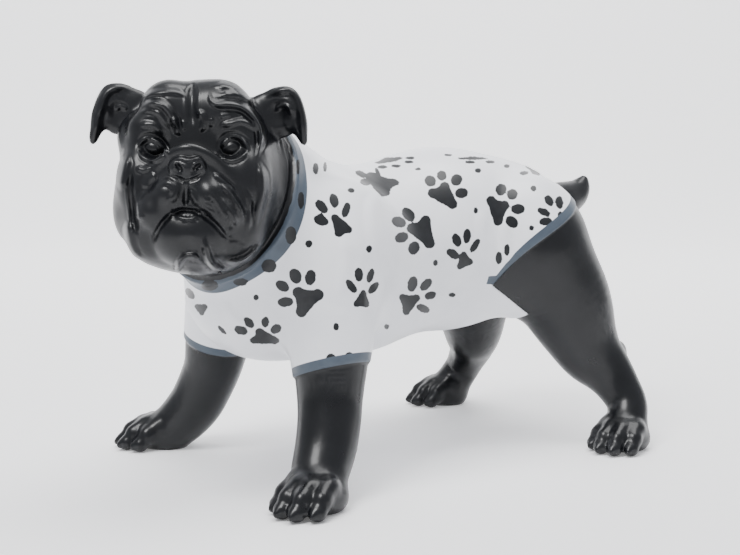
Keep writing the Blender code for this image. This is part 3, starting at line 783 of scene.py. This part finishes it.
SHOT_TURN = 53.0
SHOT_RISE = 6.4
SHOT_DISTANCE = 1523.0
SHOT_TARGET = np.array((20.0, -4.0, 210.0))
SHOT_LENS = 64.9
SENSOR = 36.0
SHOT_SIZE = (740, 555)
FOCUS = SHOT_LENS / SENSOR * SHOT_SIZE[0]


def shot_axes():
    """The camera's right, its up and the direction back from the statue to it."""
    turn, rise = math.radians(SHOT_TURN), math.radians(SHOT_RISE)
    back = np.array([math.sin(turn) * math.cos(rise), -math.cos(turn) * math.cos(rise), math.sin(rise)])
    right = np.array([math.cos(turn), math.sin(turn), 0.0])
    return right, np.cross(back, right), back


def sight(across, down):
    """Where the photo's camera stands, and the direction to a place in its picture."""
    right, up, back = shot_axes()
    heading = -back + right * (across - SHOT_SIZE[0] / 2) / FOCUS + up * (SHOT_SIZE[1] / 2 - down) / FOCUS
    return SHOT_TARGET + SHOT_DISTANCE * back, heading / np.linalg.norm(heading)


def picture_of(points):
    """Where the photo's camera sees each point, across and down."""
    right, up, back = shot_axes()
    away = points - (SHOT_TARGET + SHOT_DISTANCE * back)
    scale = FOCUS / -(away @ back)
    across = SHOT_SIZE[0] / 2 + scale * (away @ right)
    down = SHOT_SIZE[1] / 2 - scale * (away @ up)
    return np.stack([across, down], axis=1)


# The shirt's creases in the photo's view: half width, height, and places across and down

SHIRT_CREASES = [
    (8, 1.5, ((343, 232), (346, 256), (343, 280), (336, 298))),
    (9, 1.9, ((377, 186), (373, 212), (375, 240), (381, 266))),
    (5, -1.7, ((367, 258), (369, 282), (370, 308), (368, 334), (364, 350))),
    (8, 1.5, ((381, 280), (383, 306), (379, 336))),
    (8, 1.6, ((487, 200), (483, 226), (488, 252), (497, 276))),
    (7, 1.4, ((511, 208), (505, 232), (507, 254), (514, 268))),
    (6, 1.3, ((438, 320), (452, 313), (466, 303))),
    (7, 1.3, ((312, 300), (330, 312), (352, 316))),
    (7, 1.2, ((222, 300), (232, 318), (252, 330))),
]
CREASE_MARGIN = 12.0  # this far inside the shirt they are whole


class Dressed(Figure):
    """The figure with the soft creases of its shirt, which the photo's view lays out."""

    def __init__(self, face_folds):
        super().__init__(face_folds)
        self.creases = [Stroke(places, width, height) for width, height, places in SHIRT_CREASES]

    def distance(self, points):
        skin = super().distance(points)
        worn = smooth_step(shirt_parts(points)[3] / CREASE_MARGIN)
        leftward = points * np.where(points[:, :1] < 0.0, (-1.0, 1.0, 1.0), 1.0)
        places = picture_of(leftward)
        for crease in self.creases:
            near = inside(crease.bounds(), places, 0.0)
            if len(near):
                skin[near] -= worn[near] * crease.lift(places[near])
        return skin


# Painted marks, each in the photo's view. A print has a pad of three lobes, its toes, each with its place
# and its half length and width, and how flat the view makes it.

PRINTS = [
    (((334, 216.5), (349.5, 230), (338.5, 234.5)),
     ((321.5, 206.5, 8, 5), (334, 200.6, 7.5, 4.5), (346, 210, 8, 4), (321, 220.4, 8, 5)), 1.0),
    (((369.5, 175), (394, 182.5), (383.5, 194)),
     ((361, 174, 6, 3), (365.6, 182, 5.5, 3.5), (378, 173.5, 6, 2.0)), 0.6),
    (((378, 163), (389, 158.5), (400, 158)),
     ((382.5, 167, 5, 1.8), (396, 166, 5, 1.6), (410, 158, 4.5, 1.4), (409, 162, 4.5, 1.6)), 0.3),
    (((431, 193), (445, 185.5), (454, 205.5)),
     ((430.2, 181, 6, 5.5), (441.6, 175.5, 5.2, 4.8), (456.5, 180, 6, 5.6), (461.5, 193, 6.5, 5.2)), 1.0),
    (((426, 219.4), (410.6, 228), (430.6, 245)),
     ((408.5, 214.5, 8, 5.5), (398.8, 222, 7.5, 5.3), (401.5, 237.5, 7, 5.3), (414, 248, 7, 5.6)), 1.0),
    (((363.5, 292), (355.5, 304.5), (367, 305)),
     ((351.4, 286.3, 8, 4), (358.8, 274.6, 7, 4.5), (370.4, 275.6, 7.5, 3.5), (373.5, 287.8, 7.5, 3.6)), 1.0),
    (((402, 297), (417.5, 297.5), (406, 312.5)),
     ((412.5, 284, 8, 5), (426, 284.6, 7.5, 4.5), (430.4, 295.4, 6, 4), (423, 308.5, 7, 4)), 1.0),
    (((297, 291.4), (320, 294), (300.7, 313.6)),
     ((295.4, 276, 8, 6), (310.4, 277.6, 8, 5.5), (282.4, 286, 7.5, 5), (285.4, 302, 8, 5)), 1.0),
    (((259.3, 330.7), (253, 340.7), (276.4, 341)),
     ((241, 330.3, 7, 4.5), (249, 322.6, 6.5, 4), (265.3, 322, 5.5, 4), (276, 329, 6, 4.6)), 0.8),
    (((490, 199.4), (505.6, 205), (498, 223)),
     ((501, 189.6, 6, 5.5), (512.3, 194.4, 5.6, 5.4), (518, 209, 7, 5.3), (512, 222, 7, 5.6)), 1.0),
    (((463.6, 253.5), (471, 262), (459, 267.5)),
     ((456.6, 240, 7, 4.5), (467, 236, 7.5, 4), (475, 245.4, 8, 3.3), (453, 254, 7.5, 4.4)), 1.0),
    (((560, 213), (558, 222), (566, 226)),
     ((549, 200.6, 6, 4), (559.4, 202.5, 6.5, 4), (543.8, 212, 7, 3.6), (545.6, 221.6, 6.5, 4)), 1.0),
    (((459, 158.6), (472, 157.6), (485, 158.4)),
     ((448, 155, 4, 1.2), (470, 162, 5, 1.5), (490, 162, 5, 1.5)), 0.25),
    (((196, 306), (206, 306), (202, 314)),
     ((190, 293.6, 6.5, 3.5), (183.6, 290.7, 6, 2.2), (222, 330, 6, 2)), 1.0),
    (((331, 374), (346, 372), (340, 384)),
     ((332, 361, 8, 5.5), (348, 358, 6.5, 4.5), (359, 361, 6.5, 4)), 1.0),
    (((531, 170), (536, 172), (539, 175)), ((528, 167, 4, 1.5), (524, 173, 4.5, 2)), 0.6),
]

# Dots on the shirt and spots on the collar: place, and half sizes across and down

DOTS = [
    (351, 190.4, 3.5, 2.7), (308.6, 244, 3.8, 3.8), (369, 249, 3, 4), (435.5, 263, 2.5, 3.3),
    (386.7, 326.7, 2.6, 2.6), (336, 327, 3, 4), (418, 169, 3, 1.5), (478, 170.5, 3.2, 2.5),
    (507, 166, 3, 1.8), (475.8, 210.5, 2.3, 3.3), (533.4, 188.5, 3, 3), (531.6, 228, 2.5, 2.5),
    (452, 295, 3.5, 2.2), (256.3, 297.4, 3, 3), (507, 250, 3, 6), (498.8, 258, 3.5, 6.5),
    (315.7, 168.7, 3, 6), (325, 167, 1.8, 5),
]
COLLAR_SPOTS = [
    (209.7, 285.4, 8.5, 5.5), (241, 282, 7.5, 3.8), (269, 266, 7.6, 7), (291, 235.3, 5.5, 9),
    (301, 200.3, 3.2, 8.5), (298, 166.4, 2.2, 8),
]
FLAT = 0.5  # a print flatter than this lies on the back, and its toes lie along the outline
FAR_SPOTS = 7  # round the hidden side of the collar
FAR_SPOT = (8.5, 5.5)  # half sizes along and across the collar
FAR_SHIFT = np.array((0.0, 16.0, -8.0))  # how far the marks of the right side are moved
FAR_START = -4.0  # they lie beyond this x
MARK_DEPTH = 60.0  # how far behind and ahead of its middle a mark reaches
MARK_REACH = 3.0  # half sizes out to which a mark is measured
OUTSIDE = -30.0  # what a point far from any mark is given
GRAZING = 0.02  # skin that faces the camera less than this isn't marked by it


class Ellipse:
    """A painted dot, toe or spot, with its longer half size along a heading in the picture."""

    def __init__(self, place, half, heading=(1.0, 0.0)):
        self.place = np.array(place, float)
        self.half = half
        along = np.array(heading, float) / np.linalg.norm(heading)
        self.axes = np.stack([along, (-along[1], along[0])], axis=1)
        self.reach = MARK_REACH * max(half)

    def inside(self, places):
        away = ((places - self.place) @ self.axes) / self.half
        reach = np.linalg.norm(away, axis=1)
        steep = np.linalg.norm(away / self.half, axis=1)
        return reach * (1.0 - reach) / np.maximum(steep, 1e-6)


class Pad:
    """A print's pad: three arms that narrow from its middle to each lobe, with hollow sides."""

    MIDDLE = 0.72  # radii, as shares of the mean length of an arm
    LOBE = 0.48
    INSET = 0.86  # how far out each lobe's middle lies, of the way to its place
    BLEND = 3.0

    def __init__(self, lobes, flat):
        self.squash = np.array((1.0, flat))
        self.lobes = np.array(lobes, float) / self.squash
        self.middle = self.lobes.mean(axis=0)
        self.place = self.middle * self.squash
        self.lobes = self.middle + self.INSET * (self.lobes - self.middle)
        self.arm = np.linalg.norm(self.lobes - self.middle, axis=1).mean()
        self.reach = MARK_REACH * self.arm

    def inside(self, places):
        places = places / self.squash
        gap = np.full(len(places), 1e3)
        for lobe in self.lobes:
            along = lobe - self.middle
            share = np.clip((places - self.middle) @ along / (along @ along), 0.0, 1.0)
            wide = self.arm * (self.MIDDLE + share * (self.LOBE - self.MIDDLE))
            arm = np.linalg.norm(places - self.middle - share[:, None] * along, axis=1) - wide
            gap = smooth_min(gap, arm, self.BLEND)
        return -gap * self.squash.min()


def lay_marks(tree):
    """The marks that the photo shows, each with the point of the skin where its middle lies."""

    def laid(items):
        found = []
        for item in items:
            start, heading = sight(*item.place)
            hit = tree.ray_cast(Vector(start), Vector(heading))[0]
            if hit:
                found.append((item, np.array(hit)))
        return found

    marks = []
    for lobes, toes, flat in PRINTS:
        pad = Pad(lobes, flat)
        marks.append(pad)
        for *place, length, width in toes:
            away = np.array(place) - pad.place
            marks.append(Ellipse(place, (length, width), away if flat > FLAT else (1.0, 0.0)))
    marks += [Ellipse((x, y), half) for x, y, *half in DOTS]
    return laid(marks), laid([Ellipse((x, y), half) for x, y, *half in COLLAR_SPOTS])


def most_inside(marks, points, facing):
    """How far inside a mark each point is, on the side that the photo shows."""
    best = np.full(len(points), OUTSIDE)
    places = picture_of(points)
    for mark, hit in marks:
        close = np.abs(places - mark.place).max(axis=1) < mark.reach
        near = np.flatnonzero(close & facing & (np.linalg.norm(points - hit, axis=1) < MARK_DEPTH))
        best[near] = np.maximum(best[near], mark.inside(places[near]))
    return best


def faces_camera(directions):
    return directions @ shot_axes()[2] > GRAZING


def painted_marks(marks, points, directions):
    """The photo's marks on the left of the shirt, and the same ones, moved a little, on its right."""
    mirror = np.array((-1.0, 1.0, 1.0))
    seen = faces_camera(directions)
    hidden = faces_camera(directions * mirror) & (points[:, 0] < FAR_START)
    shown = most_inside(marks, points, seen)
    far = most_inside(marks, points * mirror + FAR_SHIFT, hidden)
    return np.maximum(shown, np.where(seen, OUTSIDE, far))


def collar_angle(points):
    """The angle round the collar, in radians, from its lowest point."""
    aside = np.cross(COLLAR_AXIS, (0.0, 0.0, 1.0))
    aside /= np.linalg.norm(aside)
    up = np.cross(aside, COLLAR_AXIS)
    away = points - COLLAR_CENTRE
    return np.arctan2(away @ aside, -(away @ up))


def painted_spots(spots, points, directions):
    """The collar's spots: where the photo shows them, and evenly round the hidden side."""
    best = most_inside(spots, points, faces_camera(directions))
    angles = collar_angle(np.array([hit for _, hit in spots]))
    first, last = angles[0], angles[-1]
    turn = 2.0 * math.pi * np.sign(first - last) + last - first
    away = points - COLLAR_CENTRE
    ahead = COLLAR_WIDTH / 2.0 + away @ COLLAR_AXIS
    radius = np.linalg.norm(away - (away @ COLLAR_AXIS)[:, None] * COLLAR_AXIS, axis=1)
    around = collar_angle(points)
    for number in range(1, FAR_SPOTS + 1):
        angle = first + turn * number / (FAR_SPOTS + 1)
        along = ((around - angle + math.pi) % (2.0 * math.pi) - math.pi) * radius
        spot = Ellipse((0.0, 0.0), FAR_SPOT)
        best = np.maximum(best, np.clip(spot.inside(np.stack([along, ahead], axis=1)), OUTSIDE, None))
    return best


def keep(mesh, name, values):
    """Keeps a value per corner for the paint to read."""
    mesh.attributes.new(name, "FLOAT", "POINT").data.foreach_set("value", values.astype(np.float32))


# Paint


class Nodes:
    """Small helpers around one material's node tree."""

    def __init__(self, material):
        material.use_nodes = True
        self.tree = material.node_tree
        self.shader = self.tree.nodes["Principled BSDF"]

    def link(self, value, socket):
        if isinstance(value, bpy.types.NodeSocket):
            self.tree.links.new(value, socket)
        else:
            socket.default_value = value

    def maths(self, operation, a, b=0.0, c=0.0):
        node = self.tree.nodes.new("ShaderNodeMath")
        node.operation = operation
        for value, socket in zip((a, b, c), node.inputs):
            self.link(value, socket)
        return node.outputs[0]

    def attribute(self, name):
        node = self.tree.nodes.new("ShaderNodeAttribute")
        node.attribute_name = name
        return node.outputs["Fac"]

    def edge(self, value, softness):
        """From 0 outside to 1 inside over a soft edge."""
        node = self.tree.nodes.new("ShaderNodeMapRange")
        node.interpolation_type = "SMOOTHSTEP"
        node.inputs["From Min"].default_value = -softness
        node.inputs["From Max"].default_value = softness
        self.link(value, node.inputs["Value"])
        return node.outputs["Result"]

    def noise(self, scale, detail=3.0):
        node = self.tree.nodes.new("ShaderNodeTexNoise")
        node.inputs["Scale"].default_value = scale
        node.inputs["Detail"].default_value = detail
        self.link(self.coordinates(), node.inputs["Vector"])
        return node.outputs["Fac"]

    def coordinates(self):
        if not hasattr(self, "place"):
            self.place = self.tree.nodes.new("ShaderNodeTexCoord").outputs["Object"]
        return self.place

    def mix(self, share, a, b):
        node = self.tree.nodes.new("ShaderNodeMix")
        node.data_type = "RGBA"
        self.link(share, node.inputs["Factor"])
        self.link(a, node.inputs["A"])
        self.link(b, node.inputs["B"])
        return node.outputs["Result"]

    def spread(self, value, low, high):
        """From low to high over the middle of a noise's range."""
        node = self.tree.nodes.new("ShaderNodeMapRange")
        node.inputs["From Min"].default_value = 0.3
        node.inputs["From Max"].default_value = 0.7
        node.inputs["To Min"].default_value = low
        node.inputs["To Max"].default_value = high
        self.link(value, node.inputs["Value"])
        return node.outputs["Result"]


# Black, white, slate and ink: the scale of each one's mottling and its two ends

PAINTS = (
    (26.0, (0.0025, 0.003, 0.004), (0.005, 0.0055, 0.007)),
    (18.0, (0.80, 0.81, 0.85), (0.87, 0.88, 0.91)),
    (40.0, (0.052, 0.068, 0.090), (0.068, 0.088, 0.114)),
    (120.0, (0.006, 0.0065, 0.008), (0.010, 0.011, 0.013)),
)
BRUSH_EDGE = 0.35  # half the soft edge of a painted mark
CLEAN_EDGE = 0.25  # half the soft edge of a band


def painted_resin():
    """Gloss paint: black skin, a white shirt with slate edges, and black marks."""
    material = bpy.data.materials.new("painted_resin")
    n = Nodes(material)
    black, white, slate, ink = (
        n.mix(n.spread(n.noise(scale), 0.0, 1.0), (*dark, 1.0), (*light, 1.0)) for scale, dark, light in PAINTS
    )
    wobble = n.spread(n.noise(220.0, 2.0), -BRUSH_EDGE, BRUSH_EDGE)
    marks = n.edge(n.maths("ADD", n.attribute("marks"), wobble), BRUSH_EDGE)
    spots = n.edge(n.maths("ADD", n.attribute("spots"), wobble), BRUSH_EDGE)
    band = n.edge(n.attribute("band"), CLEAN_EDGE)
    shirt = n.edge(n.attribute("shirt"), CLEAN_EDGE)
    colour = n.mix(marks, white, ink)
    colour = n.mix(band, colour, slate)
    colour = n.mix(spots, colour, ink)
    colour = n.mix(shirt, black, colour)
    n.link(colour, n.shader.inputs["Base Color"])
    patchy = n.spread(n.noise(34.0, 4.0), 0.0, 0.10)
    n.link(n.maths("ADD", n.maths("MULTIPLY_ADD", shirt, 0.04, 0.27), patchy), n.shader.inputs["Roughness"])
    n.shader.inputs["Coat Weight"].default_value = 0.1
    n.shader.inputs["Coat Roughness"].default_value = 0.12
    n.shader.inputs["IOR"].default_value = 1.38
    bump = n.tree.nodes.new("ShaderNodeBump")
    bump.inputs["Strength"].default_value = 0.35
    bump.inputs["Distance"].default_value = 0.001
    waves = n.maths("MULTIPLY", n.noise(60.0, 2.0), 0.5)
    grain = n.maths("MULTIPLY", n.noise(420.0, 2.0), 0.05)
    surface = n.maths("ADD", waves, grain)
    n.link(surface, bump.inputs["Height"])
    n.link(bump.outputs["Normal"], n.shader.inputs["Normal"])
    return material


# Make the statue

figure = Dressed(FACE_FOLDS + FINE_FOLDS)
mesh = rough_mesh(figure)
for voxel in VOXELS:
    mesh = one_skin(mesh, voxel)
    settle(mesh, figure)

corners = [tuple(place) for place in places_of(mesh)]
marks, spots = lay_marks(BVHTree.FromPolygons(corners, [tuple(face.vertices) for face in mesh.polygons]))

for region, facets in (("plain", PLAIN_FACETS), ("paws", PAW_FACETS), ("nape", NAPE_FACETS)):
    mesh = thinned(mesh, regions_of(mesh, figure, marks) == region, facets)
mesh = refined(mesh, on_face(mesh, figure))
draw_in(mesh, figure)
cut_soles(mesh)

places = places_of(mesh)
directions = slope(figure, places)
directions[places[:, 2] < SOLE_LEVEL] = (0.0, 0.0, -1.0)
collar, sleeve, hem, whole = shirt_parts(places)
band = np.maximum(COLLAR_WIDTH - collar, TRIM_WIDTH - np.minimum(sleeve, hem))
keep(mesh, "shirt", whole)
keep(mesh, "band", band)
keep(mesh, "marks", painted_marks(marks, places, directions))
keep(mesh, "spots", painted_spots(spots, places, directions))
cad_middle = 0.5 * (np.array(cad_box[0]) + np.array(cad_box[1]))
middle = 0.5 * (places.min(axis=0) + places.max(axis=0)) - cad_middle / UNIT
middle[2] = 0.0
put_places(mesh, (places - middle) * UNIT)
mesh.shade_smooth()
mesh.normals_split_custom_set_from_vertices([tuple(direction) for direction in directions])

mesh.materials.clear()
mesh.materials.append(painted_resin())
statue = bpy.data.objects.new("bulldog_painted", mesh)
bpy.context.scene.collection.objects.link(statue)
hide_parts("bulldog")
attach(statue, "root")


# Studio

scene = bpy.context.scene

# The floor runs back from the camera's side and curves up into a backdrop. Metres, as the camera sees it.

SWEEP_WIDTH = 12.0
SWEEP_FRONT = -4.0
SWEEP_BACK = 2.6
SWEEP_BEND = 1.2
SWEEP_TOP = 4.0
SWEEP_STEPS = 16
GLOW = 1.1  # how brightly the backdrop shines where it is far behind the statue
GLOW_START = -0.9
GLOW_LENGTH = 3.2

bend = [math.pi / 2 * step / SWEEP_STEPS for step in range(SWEEP_STEPS + 1)]
flat = np.linspace(SWEEP_FRONT, SWEEP_BACK, SWEEP_STEPS, endpoint=False)
profile = [(back, 0.0) for back in flat]
profile += [(SWEEP_BACK + SWEEP_BEND * math.sin(a), SWEEP_BEND * (1.0 - math.cos(a))) for a in bend]
profile.append((SWEEP_BACK + SWEEP_BEND, SWEEP_TOP))
across, _, behind = shot_axes()
behind = -behind * (1.0, 1.0, 0.0) / np.linalg.norm(behind[:2])
sweep_places = [
    tuple(side * SWEEP_WIDTH / 2 * across + back * behind + np.array((0.0, 0.0, height)))
    for back, height in profile
    for side in (-1, 1)
]
floor_mesh = bpy.data.meshes.new("studio_floor")
floor_mesh.from_pydata(
    sweep_places, [], [(2 * n, 2 * n + 1, 2 * n + 3, 2 * n + 2) for n in range(len(profile) - 1)]
)
floor_mesh.shade_smooth()
glow = smooth_step((np.repeat([back for back, _ in profile], 2) - GLOW_START) / GLOW_LENGTH)
keep(floor_mesh, "glow", glow)
floor = bpy.data.objects.new("studio_floor", floor_mesh)
floor_paint = bpy.data.materials.new("pale_floor")
n = Nodes(floor_paint)
n.shader.inputs["Base Color"].default_value = (0.90, 0.90, 0.91, 1.0)
n.shader.inputs["Roughness"].default_value = 0.7
n.shader.inputs["Emission Color"].default_value = (1.0, 1.0, 1.0, 1.0)
n.link(n.maths("MULTIPLY", n.attribute("glow"), GLOW), n.shader.inputs["Emission Strength"])
floor_mesh.materials.append(floor_paint)
scene.collection.objects.link(floor)

world = bpy.data.worlds.new("studio")
world.use_nodes = True
world.node_tree.nodes["Background"].inputs["Color"].default_value = (0.93, 0.95, 1.0, 1.0)
world.node_tree.nodes["Background"].inputs["Strength"].default_value = 0.72
scene.world = world


def soft_light(name, place, aim, size, power):
    """An area light at a place, turned to what it lights."""
    light = bpy.data.lights.new(name, "AREA")
    light.shape = "RECTANGLE"
    light.size, light.size_y = size
    light.energy = power
    obj = bpy.data.objects.new(name, light)
    obj.location = place
    obj.rotation_euler = (Vector(aim) - Vector(place)).to_track_quat("-Z", "Y").to_euler()
    scene.collection.objects.link(obj)


soft_light("key", (0.5, -1.5, 2.5), (0.0, -0.1, 0.2), (1.2, 1.0), 78.0)
soft_light("top", (0.2, 0.5, 2.7), (0.0, 0.0, 0.2), (1.8, 1.8), 70.0)

right, up, back = shot_axes()
camera_data = bpy.data.cameras.new("photo_view")
camera_data.lens = SHOT_LENS
camera_data.sensor_width = SENSOR
camera = bpy.data.objects.new("photo_view", camera_data)
turning = Matrix([right.tolist(), up.tolist(), back.tolist()]).transposed()
spot = (SHOT_TARGET + SHOT_DISTANCE * back - middle) * UNIT
camera.matrix_world = Matrix.Translation(spot) @ turning.to_4x4()
scene.collection.objects.link(camera)
scene.camera = camera
